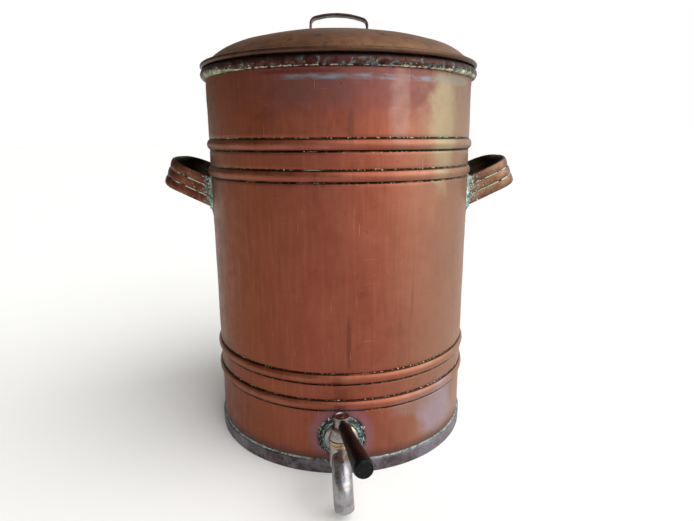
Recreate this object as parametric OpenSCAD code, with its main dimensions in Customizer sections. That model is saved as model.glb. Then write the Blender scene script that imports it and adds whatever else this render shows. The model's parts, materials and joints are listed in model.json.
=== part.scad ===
// Hot water urn: a swaged sheet copper drum with a lift-off domed lid, two ribbed
// strap handles and a plated plug tap with a black lever.
// The origin is the centre of the foot on the floor, +Z is up and the tap faces -Y.

/* [Drum] */
// Outer radius of the drum wall
body_r = 150; // [140:1:170]
// Height of the top of the rolled rim above the floor
rim_top = 416.8; // [400:0.2:460]
// Thickness of the sheet copper
sheet = 1.2; // [0.8:0.1:1.6]
// Radius of the rolled rim around its wire
rim_roll_r = 5.5; // [4.5:0.1:6]
// Height of each swaged bead
bead_h = 11; // [8:0.5:12]
// How far each bead stands out of the wall
bead_out = 2.8; // [2:0.1:3.5]
// Height of the middle of the lower bead pair
lower_beads_z = 91.3; // [90:0.1:110]
// Height of the middle of the upper bead pair
upper_beads_z = 323.3; // [320:0.1:340]
// Distance between the two beads of a pair
bead_pitch = 29; // [22:1:34]

/* [Foot and base] */
// Height of the foot band
foot_h = 14; // [10:1:16]
// Thickness of the foot band
foot_t = 2; // [1.5:0.1:3]
// Width of the flange that the drum stands on
foot_flange = 12; // [6:1:20]

/* [Lid] */
// Height of the dome above its brim
dome_h = 38; // [34:1:42]
// Radius of the shoulder at the edge of the dome
shoulder_r = 65; // [60:1:75]
// How far the centre of the shoulder's arc lies outside the tangent to the edge
shoulder_tuck = 15; // [12:1:18]
// Radius of the rolled edge of the lid
lid_roll_r = 2.75; // [2.4:0.05:3.2]
// Depth of the ring under the lid that locates it in the mouth
skirt_h = 16; // [10:1:25]
// Outer span of the lid handle
lid_handle_w = 66; // [50:1:80]
// Height of the lid handle above the top of the dome
lid_handle_rise = 21.5; // [15:0.5:30]
// Angle at which the arch of the lid handle leans to the right
lid_handle_lean = 2; // [0:0.5:4]
// Width of the lid handle strap
lid_strap_w = 15; // [10:1:20]

/* [Side handles] */
// Height of the strap's middle line where it leaves the wall
handle_z = 286; // [270:1:290]
// Angle at which the handles rise outwards
handle_tilt = 24; // [10:1:30]
// Angle at which both handles sit behind the widest line of the drum
handle_back = 6; // [0:1:10]
// Width of the handle strap
strap_w = 31; // [24:1:32]
// Reach of the strap's inner face from the axis of the drum
handle_reach = 206; // [195:1:215]
// Half width of the inside of the loop
loop_half = 43; // [34:1:50]
// Inside radius of the two bends of the loop
loop_bend_r = 29; // [20:1:32]

/* [Tap] */
// Height of the inlet of the tap
inlet_z = 42; // [38:1:46]
// Distance from the axis of the drum to the axis of the plug
plug_y = 180; // [176:1:184]
// Outer radius of the spout tube
spout_r = 9.5; // [8.5:0.1:10]
// Bend radius of the spout tube
spout_bend_r = 22; // [20:1:26]
// Height of the mouth of the spout above the floor
spout_mouth_z = 9; // [6:1:14]
// Angle at which the spout leans sideways
spout_lean = 4; // [0:1:8]
// Length of the black grip on the lever
grip_len = 80; // [60:1:100]
// Radius of the grip at its free end
grip_end_r = 9; // [7:0.1:10]
// Angle of the lever away from straight ahead
lever_turn = 12; // [-60:1:60]
// Angle at which the lever rises
lever_rise = 5; // [0:1:10]

/* [Hidden] */
$fn = 120;
eps = 0.5;
copper = "#a2543a";
dark_copper = "#6e3b2c";
brown_copper = "#8a5a40";
plate = "#a9a6a0";
verdigris = "#86a79a";
ebonite = "#17151a";

// Drum
wall_r = body_r - sheet;
beads_z = [for (pair = [lower_beads_z, upper_beads_z], side = [-0.5, 0.5]) pair + side * bead_pitch];
bead_r = (pow(bead_h / 2, 2) + pow(bead_out, 2)) / (2 * bead_out);
bead_x = body_r + bead_out - bead_r;
rim_x = body_r - 0.2;
rim_z = rim_top - rim_roll_r;
shell_bottom = 1.5;
base_z = foot_h;
seam_angle = 3.6;
seam_t = 0.8;

// Lid
lid_gap = 0.4;
brim_z = rim_top + lid_gap + lid_roll_r;
brim_top = brim_z + sheet / 2;
lid_roll_x = body_r + 2.4;
dome_base_r = body_r;
skirt_r = rim_x - rim_roll_r - 1;
// The crown and the shoulder of the dome are two arcs that meet at a common tangent.
shoulder_x = dome_base_r - shoulder_r + shoulder_tuck;
shoulder_z = brim_top - sqrt(pow(shoulder_r, 2) - pow(dome_base_r - shoulder_x, 2));
crown_top = brim_top + dome_h;
crown_drop = crown_top - shoulder_z - shoulder_r;
crown_r = shoulder_r + (pow(shoulder_x, 2) + pow(crown_drop, 2)) / (2 * crown_drop);
crown_z = crown_top - crown_r;
crown_angle = atan2(shoulder_x, shoulder_z - crown_z);
strap_t = 2.2;
lid_handle_top = crown_top + lid_handle_rise;
lid_corner_r = 8;
lid_arch_r = 95;
lid_foot_len = 13;
lid_rivet_x = lid_handle_w / 2 + 6.5;
lid_rivet_y = 4;
lid_rivet_r = 1.6;

// Side handles
strap_base = 2;
rib_out = 1.2;
rib_w = strap_w / 3 - 0.4;
rib_r = (pow(rib_w / 2, 2) + pow(rib_out, 2)) / (2 * rib_out);
end_run = loop_half - loop_bend_r;
arm_start = 124;
arm_len = handle_reach - loop_bend_r - arm_start;
solder_t = 1.6;
solder_below = 32;
solder_above = 16;

// Tap
wall_hole_r = 9;
tail_r = 8.5;
bore_r = 5.5;
washer_t = 2.5;
washer_r = 22;
flange_r = 17.5;
flange_t = 3.2;
flange_face = body_r + washer_t;
barrel_r = 12;
barrel_low = 26;
barrel_top = 60;
taper_low_r = 6.6;
taper_high_r = 8.4;
fit = 0.05;
tail_end = 132;
nut_t = 6;
inner_washer_t = 2;
spout_wall = 1.6;
spout_start = plug_y + 9;
bend_start = plug_y + 15;
head_low = barrel_top + 0.3;
lever_z = 75.5;
neck_r = 6.7;
cap_r = 8;
cap_top = 83;
grip_start = 8;
grip_root_r = 5.1;
tang_r = 2.5;
screw_r = 2.6;
stem_r = 4;

// Rectangle of a turned section, from radius x outwards, between two heights
module band(x, z_low, z_high, width) {
    translate([x, z_low]) square([width, z_high - z_low]);
}

// Section of the drum wall: one straight sheet, four swaged beads and the rolled rim
module shell_section() {
    difference() {
        union() {
            band(wall_r, shell_bottom, rim_z, sheet);
            for (z = beads_z)
                intersection() {
                    translate([bead_x, z]) circle(bead_r);
                    band(wall_r, z - bead_h, z + bead_h, bead_h);
                }
            translate([rim_x, rim_z]) circle(rim_roll_r);
        }
        for (z = beads_z)
            translate([bead_x, z]) circle(bead_r - sheet);
        translate([rim_x, rim_z]) circle(rim_roll_r - sheet);
    }
}

// Hole through the front wall for the tail of the tap
module tap_hole(r) {
    translate([0, 0, inlet_z]) rotate([90, 0, 0]) translate([0, 0, tail_end - 10]) cylinder(r = r, h = 60);
}

module body_shell() {
    color(copper)
        difference() {
            rotate_extrude() shell_section();
            tap_hole(wall_hole_r);
        }
}

// Lapped and soldered joint of the sheet, down the back of the drum
module body_seam() {
    color(copper)
        rotate([0, 0, 90 - seam_angle / 2])
            rotate_extrude(angle = seam_angle)
                difference() {
                    union() {
                        band(body_r, foot_h + eps, rim_z - rim_roll_r, seam_t);
                        for (z = beads_z)
                            intersection() {
                                translate([bead_x, z]) circle(bead_r + seam_t);
                                band(body_r, z - bead_h, z + bead_h, bead_h);
                            }
                    }
                    for (z = beads_z)
                        translate([bead_x, z]) circle(bead_r);
                }
}

module rim_wire() {
    color("dimgray") rotate_extrude() translate([rim_x, rim_z]) circle(rim_roll_r - sheet);
}

// Flat bottom with its edge turned down inside the wall
module base_pan() {
    color(dark_copper)
        rotate_extrude() {
            band(0, base_z, base_z + sheet, wall_r);
            band(wall_r - sheet, shell_bottom, base_z + sheet, sheet);
        }
}

// Angle section band around the bottom edge, which carries the urn
module foot_band() {
    color(dark_copper)
        rotate_extrude() {
            band(body_r, 0, foot_h, foot_t);
            band(body_r - foot_flange, 0, shell_bottom, foot_flange + foot_t);
        }
}

// Section of the handle strap: flat inside, three convex ribs outside
module strap_section() {
    intersection() {
        translate([0, -strap_w / 2]) square([2 * strap_base, strap_w]);
        union() {
            translate([0, -strap_w / 2]) square([strap_base, strap_w]);
            for (i = [-1:1])
                translate([strap_base + rib_out - rib_r, i * strap_w / 3]) circle(rib_r);
        }
    }
}

module strap_run(len) {
    rotate([90, 0, 0]) linear_extrude(height = len) strap_section();
}

// Half of the loop: half of the end, one bend and one arm
module half_loop() {
    translate([handle_reach, end_run, 0]) strap_run(end_run);
    translate([handle_reach - loop_bend_r, end_run, 0]) {
        rotate_extrude(angle = 90) translate([loop_bend_r, 0]) strap_section();
        rotate([0, 0, 90]) translate([loop_bend_r, arm_len, 0]) strap_run(arm_len);
    }
}

module loop() {
    half_loop();
    mirror([0, 1, 0]) half_loop();
}

// Moves the loop from its own plane to its place on the right side of the drum
module place_loop() {
    rotate([0, 0, handle_back])
        translate([body_r, 0, handle_z])
            rotate([0, -handle_tilt, 0])
                translate([-body_r, 0, 0]) children();
}

module drum_core(r) {
    cylinder(r = r, h = rim_top, $fn = 360);
}

module handle_right() {
    color(copper)
        difference() {
            place_loop() loop();
            drum_core(body_r);
        }
}

module handle_left() {
    mirror([1, 0, 0]) handle_right();
}

// Solder pads where the two arms meet the wall
module solder_right() {
    arm_angle = asin(loop_half / body_r);
    pad_angle = 7;
    color(verdigris)
        difference() {
            for (side = [-1, 1])
                rotate([0, 0, handle_back + side * (arm_angle + 1.5) - pad_angle / 2])
                    rotate_extrude(angle = pad_angle)
                        band(body_r, handle_z - solder_below, handle_z + solder_above, solder_t);
            place_loop() loop();
        }
}

module solder_left() {
    mirror([1, 0, 0]) solder_right();
}

// Rod along -Y at the height of the inlet, between two distances from the axis
module inlet_rod(r, from, to) {
    translate([0, -from, inlet_z]) rotate([90, 0, 0]) cylinder(r = r, h = to - from);
}

// Washer outside the wall, its back shaped to the drum
module tap_washer_outer() {
    color(verdigris)
        difference() {
            inlet_rod(washer_r, body_r - 6, flange_face);
            drum_core(body_r);
            tap_hole(wall_hole_r);
        }
}

module tap_washer_inner() {
    color("saddlebrown")
        difference() {
            intersection() {
                inlet_rod(15, wall_r - inner_washer_t, body_r);
                drum_core(wall_r);
            }
            tap_hole(wall_hole_r);
        }
}

module tap_backnut() {
    color("goldenrod")
        difference() {
            translate([0, -(wall_r - inner_washer_t), inlet_z])
                rotate([-90, 0, 0]) cylinder(d = 30, h = nut_t, $fn = 6);
            inlet_rod(tail_r, tail_end - 10, body_r);
        }
}

// Taper of the plug, or of its seat when it is given a clearance
module plug_taper(clear) {
    slope = (taper_high_r - taper_low_r) / (barrel_top - barrel_low);
    translate([0, -plug_y, barrel_low - 1])
        cylinder(
            r1 = taper_low_r - slope + clear,
            r2 = taper_high_r + slope + clear,
            h = barrel_top - barrel_low + 2
        );
}

// Tail, flange, inlet and upright barrel of the tap, with the seat of the plug
module tap_body() {
    color(plate)
        difference() {
            union() {
                inlet_rod(tail_r, tail_end, flange_face + eps);
                inlet_rod(flange_r, flange_face, flange_face + flange_t);
                inlet_rod(spout_r, flange_face, plug_y);
                translate([0, -plug_y, 0]) {
                    translate([0, 0, barrel_low]) cylinder(r1 = barrel_r - 2.5, r2 = barrel_r, h = 6);
                    translate([0, 0, barrel_low + 6]) cylinder(r = barrel_r, h = barrel_top - barrel_low - 6);
                    for (z = [barrel_top - 6.5, barrel_top - 2.2])
                        translate([0, 0, z]) cylinder(r = barrel_r + 0.5, h = 2.2);
                }
            }
            plug_taper(fit);
            inlet_rod(bore_r, tail_end - eps, plug_y + barrel_r + eps);
            inlet_rod(spout_r, spout_start, plug_y + barrel_r + 2);
        }
}

module tube_section(r) {
    difference() {
        circle(r);
        circle(r - spout_wall);
    }
}

// Turns its children about the inlet, so that the mouth swings to the right
module lean() {
    translate([0, 0, inlet_z])
        rotate([0, -spout_lean, 0])
            translate([0, 0, -inlet_z]) children();
}

// Bent tube from the barrel down to the mouth
module tap_spout() {
    bend_low = inlet_z - spout_bend_r;
    color(plate)
        difference() {
            lean() {
                translate([0, -spout_start, inlet_z])
                    rotate([90, 0, 0]) linear_extrude(height = bend_start - spout_start) tube_section(spout_r);
                translate([0, -bend_start, bend_low])
                    rotate([90, 0, -90])
                        rotate_extrude(angle = 90) translate([spout_bend_r, 0]) tube_section(spout_r);
                translate([0, -bend_start - spout_bend_r, spout_mouth_z])
                    linear_extrude(height = bend_low - spout_mouth_z) tube_section(spout_r);
            }
            rivet_shape();
        }
}

// Flush rivet on the shoulder of the spout
module rivet_shape() {
    rivet_angle = 20;
    lean()
        translate([0, -bend_start, inlet_z - spout_bend_r])
            rotate([rivet_angle, 0, 0])
                translate([0, 0, spout_bend_r + spout_r - spout_wall]) cylinder(r = 2.6, h = spout_wall + 0.7);
}

module spout_rivet() {
    color(plate) rivet_shape();
}

// Turns and lifts its children, which lie along +X, to the line of the lever
module lever_line() {
    translate([0, -plug_y, lever_z])
        rotate([0, 0, lever_turn - 90])
            rotate([0, -lever_rise, 0]) children();
}

module lever_rod(r, from, to) {
    lever_line() translate([from, 0, 0]) rotate([0, 90, 0]) cylinder(r = r, h = to - from);
}

// Section of the plug's head: bell over the barrel, neck and flared cap
module head_section() {
    shoulder = 3.4;
    bell_top_r = 10.3;
    bell_h = 8.3;
    polygon([[0, 0], [barrel_r - 0.1, 0], [barrel_r - 0.1, 1.6], [bell_top_r, bell_h], [0, bell_h]]);
    translate([0, bell_h - eps]) square([bell_top_r - shoulder, shoulder + eps]);
    intersection() {
        translate([bell_top_r - shoulder, bell_h]) circle(shoulder);
        translate([0, bell_h - eps]) square([bell_top_r, shoulder + eps]);
    }
    square([neck_r, cap_top - head_low - 1]);
    polygon([
        [0, cap_top - head_low - 4.5], [neck_r, cap_top - head_low - 4.5],
        [cap_r, cap_top - head_low - 1], [cap_r, cap_top - head_low], [0, cap_top - head_low]
    ]);
}

// Tapered plug with its cross port, its head and the threaded stem below
module tap_plug() {
    color(plate)
        difference() {
            union() {
                intersection() {
                    plug_taper(0);
                    translate([0, -plug_y, barrel_low]) cylinder(r = barrel_r, h = barrel_top + 0.5 - barrel_low);
                }
                translate([0, -plug_y, head_low]) rotate_extrude() head_section();
                translate([0, -plug_y, 17]) cylinder(r = stem_r, h = 10);
            }
            translate([0, -plug_y, inlet_z])
                rotate([0, 0, lever_turn]) rotate([90, 0, 0]) cylinder(r = bore_r - 0.5, h = 4 * barrel_r, center = true);
            lever_rod(tang_r, 0, 20);
            translate([0, -plug_y, lever_z + 1]) cylinder(r = screw_r, h = 10);
        }
}

module plug_washer() {
    color("goldenrod")
        translate([0, -plug_y, barrel_low - 1.5])
            difference() {
                cylinder(r = 8.5, h = 1.2);
                translate([0, 0, -1]) cylinder(r = stem_r, h = 4);
            }
}

module plug_nut() {
    color("goldenrod")
        translate([0, -plug_y, barrel_low - 6.5])
            difference() {
                cylinder(d = 14, h = 5, $fn = 6);
                translate([0, 0, -1]) cylinder(r = stem_r, h = 7);
            }
}

// Slotted screw in the cap, which holds the lever's tang
module lever_screw() {
    screw_low = lever_z + tang_r + 0.2;
    color("#2a2622")
        translate([0, -plug_y, screw_low])
            difference() {
                cylinder(r = screw_r, h = cap_top - 1.2 - screw_low);
                translate([-screw_r, -0.4, cap_top - 2.2 - screw_low]) cube([2 * screw_r, 0.8, 2]);
            }
}

// Steel rod that carries the grip
module lever_tang() {
    color("#6b6762") lever_rod(tang_r, 0, grip_start + grip_len - 12);
}

module lever_grip() {
    edge = 1.4;
    color(ebonite)
        lever_line()
            rotate([0, 90, 0])
                difference() {
                    translate([0, 0, grip_start]) {
                        cylinder(r1 = grip_root_r - 1, r2 = grip_root_r, h = 1.2);
                        translate([0, 0, 1.2])
                            cylinder(r1 = grip_root_r, r2 = grip_end_r, h = grip_len - 1.2 - edge);
                        translate([0, 0, grip_len - edge])
                            cylinder(r1 = grip_end_r, r2 = grip_end_r - edge * 0.7, h = edge);
                    }
                    cylinder(r = tang_r, h = grip_start + grip_len - 12);
                }
}

// Everything under a surface that lies the given distance below the top of the dome
module under_dome(depth) {
    intersection() {
        union() {
            intersection() {
                translate([0, crown_z]) circle(crown_r - depth);
                polygon([
                    [0, crown_z], [0, crown_top + 1],
                    [(crown_top + 1 - crown_z) * tan(crown_angle), crown_top + 1]
                ]);
            }
            translate([shoulder_x, shoulder_z]) circle(shoulder_r - depth);
        }
        band(0, brim_z - sheet / 2, crown_top + 1, body_r);
    }
}

// Dome, brim and rolled edge, all one sheet
module lid_section() {
    difference() {
        union() {
            under_dome(0);
            band(dome_base_r - 4, brim_z - sheet / 2, brim_top, lid_roll_x - dome_base_r + 4);
            translate([lid_roll_x, brim_z]) circle(lid_roll_r);
        }
        under_dome(sheet);
        translate([lid_roll_x, brim_z]) circle(lid_roll_r - sheet);
    }
}

module lid_dome() {
    color(brown_copper)
        difference() {
            rotate_extrude() lid_section();
            rivet_shanks();
        }
}

module lid_wire() {
    color("dimgray") rotate_extrude() translate([lid_roll_x, brim_z]) circle(lid_roll_r - sheet);
}

// Ring soldered under the lid, which drops into the mouth
module lid_skirt() {
    color(brown_copper)
        rotate_extrude()
            band(skirt_r - sheet, brim_z - sheet / 2 - skirt_h, brim_z - sheet / 2, sheet);
}

// Outline of the arch of the lid handle, the given distance inside its outer face.
// A shallow arc on top runs into a corner arc on each side at a common tangent.
module arch_outline(inset) {
    corner_x = lid_handle_w / 2 - lid_corner_r;
    arch_low = lid_handle_top - lid_arch_r;
    corner_z = arch_low + sqrt(pow(lid_arch_r - lid_corner_r, 2) - pow(corner_x, 2));
    tangent_x = (lid_arch_r - inset) * corner_x / (lid_arch_r - lid_corner_r);
    leg_low = crown_top - 12;
    intersection() {
        translate([0, arch_low]) circle(lid_arch_r - inset);
        translate([-tangent_x, leg_low]) square([2 * tangent_x, lid_handle_top - leg_low]);
    }
    for (side = [-1, 1])
        translate([side * corner_x, corner_z]) circle(lid_corner_r - inset);
    translate([inset - lid_handle_w / 2, leg_low]) square([lid_handle_w - 2 * inset, corner_z - leg_low]);
}

// Bent strap with two feet that lie on the dome
module lid_handle() {
    color(dark_copper)
        difference() {
            rotate([90, 0, 0])
                linear_extrude(height = lid_strap_w, center = true) {
                    translate([0, crown_top])
                        rotate(-lid_handle_lean)
                            translate([0, -crown_top])
                                difference() {
                                    arch_outline(0);
                                    arch_outline(strap_t);
                                }
                    for (side = [-1, 1])
                        foot_outline(side);
                }
            crown_ball(0);
            rivet_shanks();
        }
}

// One foot of the lid handle, along the slope of the dome
module foot_outline(side) {
    foot_angle = asin(lid_rivet_x / crown_r);
    translate([0, crown_z])
        rotate(-side * foot_angle)
            translate([-lid_foot_len / 2, crown_r - 3])
                translate([side > 0 ? -strap_t : 0, 0]) square([lid_foot_len + strap_t, strap_t + 3]);
}

module crown_ball(extra) {
    translate([0, 0, crown_z]) sphere(r = crown_r + extra, $fn = 360);
}

// Puts its children on the dome at each of the four rivets, with +Z square to the dome
module at_rivets() {
    for (side = [-1, 1], row = [-1, 1])
        translate([0, row * lid_rivet_y, crown_z])
            rotate([0, side * asin(lid_rivet_x / crown_r), 0])
                translate([0, 0, crown_r]) children();
}

module rivet_shanks() {
    at_rivets() translate([0, 0, -6]) cylinder(r = lid_rivet_r, h = 14);
}

// Rivets with a low round head outside and a flat one under the dome
module lid_rivets() {
    head_r = 3.2;
    head_ball = 3.6;
    color(dark_copper)
        at_rivets() {
            translate([0, 0, -sheet - 1]) cylinder(r = lid_rivet_r, h = sheet + strap_t + 1.5);
            translate([0, 0, -sheet - 1.4]) cylinder(r = head_r, h = 1.2);
            intersection() {
                translate([0, 0, strap_t + 2.1 - head_ball]) sphere(head_ball);
                translate([0, 0, strap_t + 0.15]) cylinder(r = head_r, h = 3);
            }
        }
}

body_shell();
body_seam();
rim_wire();
base_pan();
foot_band();
handle_left();
handle_right();
solder_left();
solder_right();
tap_washer_outer();
tap_body();
tap_spout();
spout_rivet();
tap_washer_inner();
tap_backnut();
tap_plug();
plug_washer();
plug_nut();
lever_screw();
lever_tang();
lever_grip();
lid_dome();
lid_wire();
lid_skirt();
lid_handle();
lid_rivets();
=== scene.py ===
"""Looks of the hot water urn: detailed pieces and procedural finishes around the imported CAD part."""
import json
import random
from math import asin, atan, atan2, ceil, cos, degrees, dist, exp, hypot, pi, radians, sin, sqrt, tan

import bmesh
import bpy
import numpy as np
from mathutils import Matrix, Vector, noise


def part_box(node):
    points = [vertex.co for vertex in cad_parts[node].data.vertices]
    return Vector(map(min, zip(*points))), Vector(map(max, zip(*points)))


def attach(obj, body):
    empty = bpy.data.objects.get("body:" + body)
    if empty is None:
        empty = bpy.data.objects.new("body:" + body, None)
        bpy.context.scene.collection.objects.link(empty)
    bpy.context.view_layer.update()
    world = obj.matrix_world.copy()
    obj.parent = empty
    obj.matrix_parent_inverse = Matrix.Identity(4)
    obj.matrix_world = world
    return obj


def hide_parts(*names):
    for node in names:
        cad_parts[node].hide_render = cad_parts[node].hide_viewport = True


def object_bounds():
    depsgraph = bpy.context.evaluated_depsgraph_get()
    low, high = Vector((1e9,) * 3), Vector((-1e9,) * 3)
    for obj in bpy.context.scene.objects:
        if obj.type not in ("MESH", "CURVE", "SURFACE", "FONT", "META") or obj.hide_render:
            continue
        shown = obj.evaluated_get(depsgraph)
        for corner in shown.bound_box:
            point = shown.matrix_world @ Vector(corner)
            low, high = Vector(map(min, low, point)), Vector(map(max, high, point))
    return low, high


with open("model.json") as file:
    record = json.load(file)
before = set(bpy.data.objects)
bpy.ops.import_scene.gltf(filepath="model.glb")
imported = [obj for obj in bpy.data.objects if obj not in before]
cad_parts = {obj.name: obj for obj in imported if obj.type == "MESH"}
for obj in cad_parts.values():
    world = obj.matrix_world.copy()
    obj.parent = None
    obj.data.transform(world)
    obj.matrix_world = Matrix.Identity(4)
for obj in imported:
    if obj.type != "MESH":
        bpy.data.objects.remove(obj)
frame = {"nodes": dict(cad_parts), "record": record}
cad_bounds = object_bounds()

# Shapes are written in millimetres, in the frame of the CAD part, and become metres in finish_mesh().
MM = 0.001
BODY_R = 150.0
SHEET = 1.2
BEAD_H = 11.0
BEAD_OUT = 2.8
BEADS_Z = (76.8, 105.8, 308.8, 337.8)
RIM_R = 5.5
RIM_X = BODY_R - 0.2
RIM_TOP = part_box("body_shell")[1].z / MM
RIM_Z = RIM_TOP - RIM_R
WALL_LOW = 1.5
FOOT_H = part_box("foot_band")[1].z / MM
HANDLE_Z = 286.0
HANDLE_TILT = 24.0
HANDLE_BACK = 6.0
STRAP_W = 31.0
LOOP_REACH = 206.0
LOOP_HALF = 43.0
LOOP_BEND = 29.0
PLUG_Y = -180.0
INLET_Z = 42.0
LEVER_Z = 75.5
LEVER_TURN = 12.0
LEVER_RISE = 5.0
SPOUT_R = 9.5
SPOUT_BEND = 22.0
SPOUT_LEAN = 4.0
LID_STRAP_HALF = 33.0
LID_STRAP_THICK = 2.2
LID_ROLL_R = 2.75
LID_ROLL_X = BODY_R + 2.4
BRIM_Z = RIM_TOP + 0.4 + LID_ROLL_R
BRIM_TOP = BRIM_Z + SHEET / 2
CROWN_TOP = BRIM_TOP + 38.0
SHOULDER_R = 65.0
SHOULDER_X = BODY_R - SHOULDER_R + 15.0


# ---------------- mesh helpers

def finish_mesh(bm, name, material, place=None, sharp=42.0):
    """Turns a bmesh in millimetres into an object in metres, smooth except at sharp edges."""
    bmesh.ops.recalc_face_normals(bm, faces=bm.faces)
    mesh = bpy.data.meshes.new(name)
    bm.to_mesh(mesh)
    bm.free()
    if place is not None:
        mesh.transform(place)
    mesh.transform(Matrix.Scale(MM, 4))
    mesh.shade_smooth()
    mesh.set_sharp_from_angle(angle=radians(sharp))
    mesh.materials.append(material)
    piece = bpy.data.objects.new(name, mesh)
    bpy.context.scene.collection.objects.link(piece)
    return piece


def arc(x, z, radius, start, end, steps):
    """Points on an arc; angles in degrees from +X towards +Z."""
    angles = [radians(start + (end - start) * i / steps) for i in range(steps + 1)]
    return [(x + radius * cos(a), z + radius * sin(a)) for a in angles]


def rounded(points, radius, steps=4, closed=True):
    """Outline with its corners rounded; a corner may carry its own radius as a third value."""
    out = []
    count = len(points)
    for i, corner in enumerate(points):
        here = Vector(corner[:2])
        r = corner[2] if len(corner) > 2 else radius
        if r <= 0 or (not closed and i in (0, count - 1)):
            out.append(tuple(here))
            continue
        back = Vector(points[i - 1][:2]) - here
        ahead = Vector(points[(i + 1) % count][:2]) - here
        half = back.angle(ahead) / 2
        run = min(r / tan(half), 0.49 * back.length, 0.49 * ahead.length)
        a = here + back.normalized() * run
        b = here + ahead.normalized() * run
        for k in range(steps + 1):
            t = k / steps
            out.append(tuple(a * (1 - t) ** 2 + here * 2 * t * (1 - t) + b * t * t))
    return out


def refined(profile, step):
    """The same outline with a point at least every step."""
    out = []
    for a, b in zip(profile, profile[1:] + profile[:1]):
        n = max(1, ceil(dist(a, b) / step))
        out += [(a[0] + (b[0] - a[0]) * k / n, a[1] + (b[1] - a[1]) * k / n) for k in range(n)]
    return out


def turn(bm, profile, segments=96, place=None):
    """Adds a surface of revolution about Z; a profile is closed unless both its ends are on the axis."""
    place = place or Matrix.Identity(4)
    rings = []
    for r, z in profile:
        if r < 1e-4:
            rings.append([bm.verts.new(place @ Vector((0, 0, z)))] * segments)
            continue
        angles = [2 * pi * i / segments for i in range(segments)]
        rings.append([bm.verts.new(place @ Vector((r * cos(a), r * sin(a), z))) for a in angles])
    open_ends = profile[0][0] < 1e-4 and profile[-1][0] < 1e-4
    stitch(bm, rings, path_closed=not open_ends)


def stitch(bm, rings, path_closed=False):
    """Joins closed rings of vertices with quads; a closed path also joins the last ring with the first."""
    count = len(rings[0])
    following = rings[1:] + (rings[:1] if path_closed else [])
    for a, b in zip(rings, following):
        for i in range(count):
            j = (i + 1) % count
            corners = list(dict.fromkeys((a[i], a[j], b[j], b[i])))
            if len(corners) > 2:
                bm.faces.new(corners)


def strip(bm, rings):
    """Joins rings of vertices with quads and closes both ends."""
    stitch(bm, rings)
    bm.faces.new(rings[0])
    bm.faces.new(rings[-1])


def lathe(name, material, profile, segments=96, place=None, sharp=42.0):
    """One turned piece, about Z or about the axis that place puts there."""
    bm = bmesh.new()
    turn(bm, profile, segments)
    return finish_mesh(bm, name, material, place, sharp)


def rumple(piece, amount, size, seed, keep=None):
    """Moves points along their normals by smooth noise, so that hand-worked sheet isn't perfect.

    The amount and the size of the waves are in millimetres; keep(place) is the share of it at a place.
    """
    mesh = piece.data
    offset = Vector((seed * 3.7, seed * 1.3, seed * 7.1))
    spots = [vertex.co.copy() for vertex in mesh.vertices]
    normals = np.zeros(len(spots) * 3, np.float32)
    mesh.vertices.foreach_get("normal", normals)
    moves = [(keep(co) if keep else 1.0) * noise.noise(co / (size * MM) + offset) for co in spots]
    moved = np.array(spots) + normals.reshape(-1, 3) * (amount * MM * np.array(moves))[:, None]
    mesh.vertices.foreach_set("co", moved.astype(np.float32).ravel())
    mesh.update()


def mark_inside(piece, facing):
    """Stores on each point whether it is on the inner face: facing(place, normal) is negative there."""
    mesh = piece.data
    normals = np.zeros(len(mesh.vertices) * 3, np.float32)
    mesh.vertices.foreach_get("normal", normals)
    pairs = zip(mesh.vertices, normals.reshape(-1, 3))
    layer = mesh.attributes.new("inside", "FLOAT", "POINT")
    inside = [1.0 if facing(vertex.co, normal) < 0 else 0.0 for vertex, normal in pairs]
    layer.data.foreach_set("value", inside)


def crumbs(name, material, spots, seed):
    """One mesh of small rough lumps; a spot is a centre, the direction it stands in, and its size."""
    rnd = random.Random(seed)
    ball = bmesh.new()
    bmesh.ops.create_icosphere(ball, subdivisions=2, radius=1.0)
    base = [v.co.copy() for v in ball.verts]
    faces = [[v.index for v in f.verts] for f in ball.faces]
    ball.free()
    bm = bmesh.new()
    for centre, out, size in spots:
        turned = Vector(out).to_track_quat("Z", "Y").to_matrix()
        long, wide, high = rnd.uniform(0.7, 1.4), rnd.uniform(0.7, 1.4), rnd.uniform(0.3, 0.6)
        stretch = Vector((size * long, size * wide, size * high))
        spin = Matrix.Rotation(rnd.uniform(0, pi), 3, "Z")
        corners = []
        for co in base:
            rough = 1 + 0.28 * noise.noise(co * 1.7 + Vector(centre) * 3.1)
            corners.append(bm.verts.new(Vector(centre) + turned @ (spin @ (co * stretch * rough))))
        for face in faces:
            bm.faces.new([corners[i] for i in face])
    return finish_mesh(bm, name, material, sharp=75.0)


def on_drum(azimuth, height, radius=BODY_R):
    """A point on the drum; azimuth in degrees from the front, positive to the right."""
    a = radians(azimuth)
    return Vector((radius * sin(a), -radius * cos(a), height))


# ---------------- materials

def rgb(r, g, b):
    """Linear colour from an 8-bit display colour."""
    def linear(v):
        v /= 255
        return v / 12.92 if v <= 0.04045 else ((v + 0.055) / 1.055) ** 2.4
    return (linear(r), linear(g), linear(b), 1.0)


def fill_ramp(node, stops):
    """Gives a colour ramp its stops, each a place and a colour."""
    cells = node.color_ramp.elements
    while len(cells) < len(stops):
        cells.new(0.5)
    for cell, (place, colour) in zip(cells, stops):
        cell.position = place
        cell.color = colour


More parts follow.
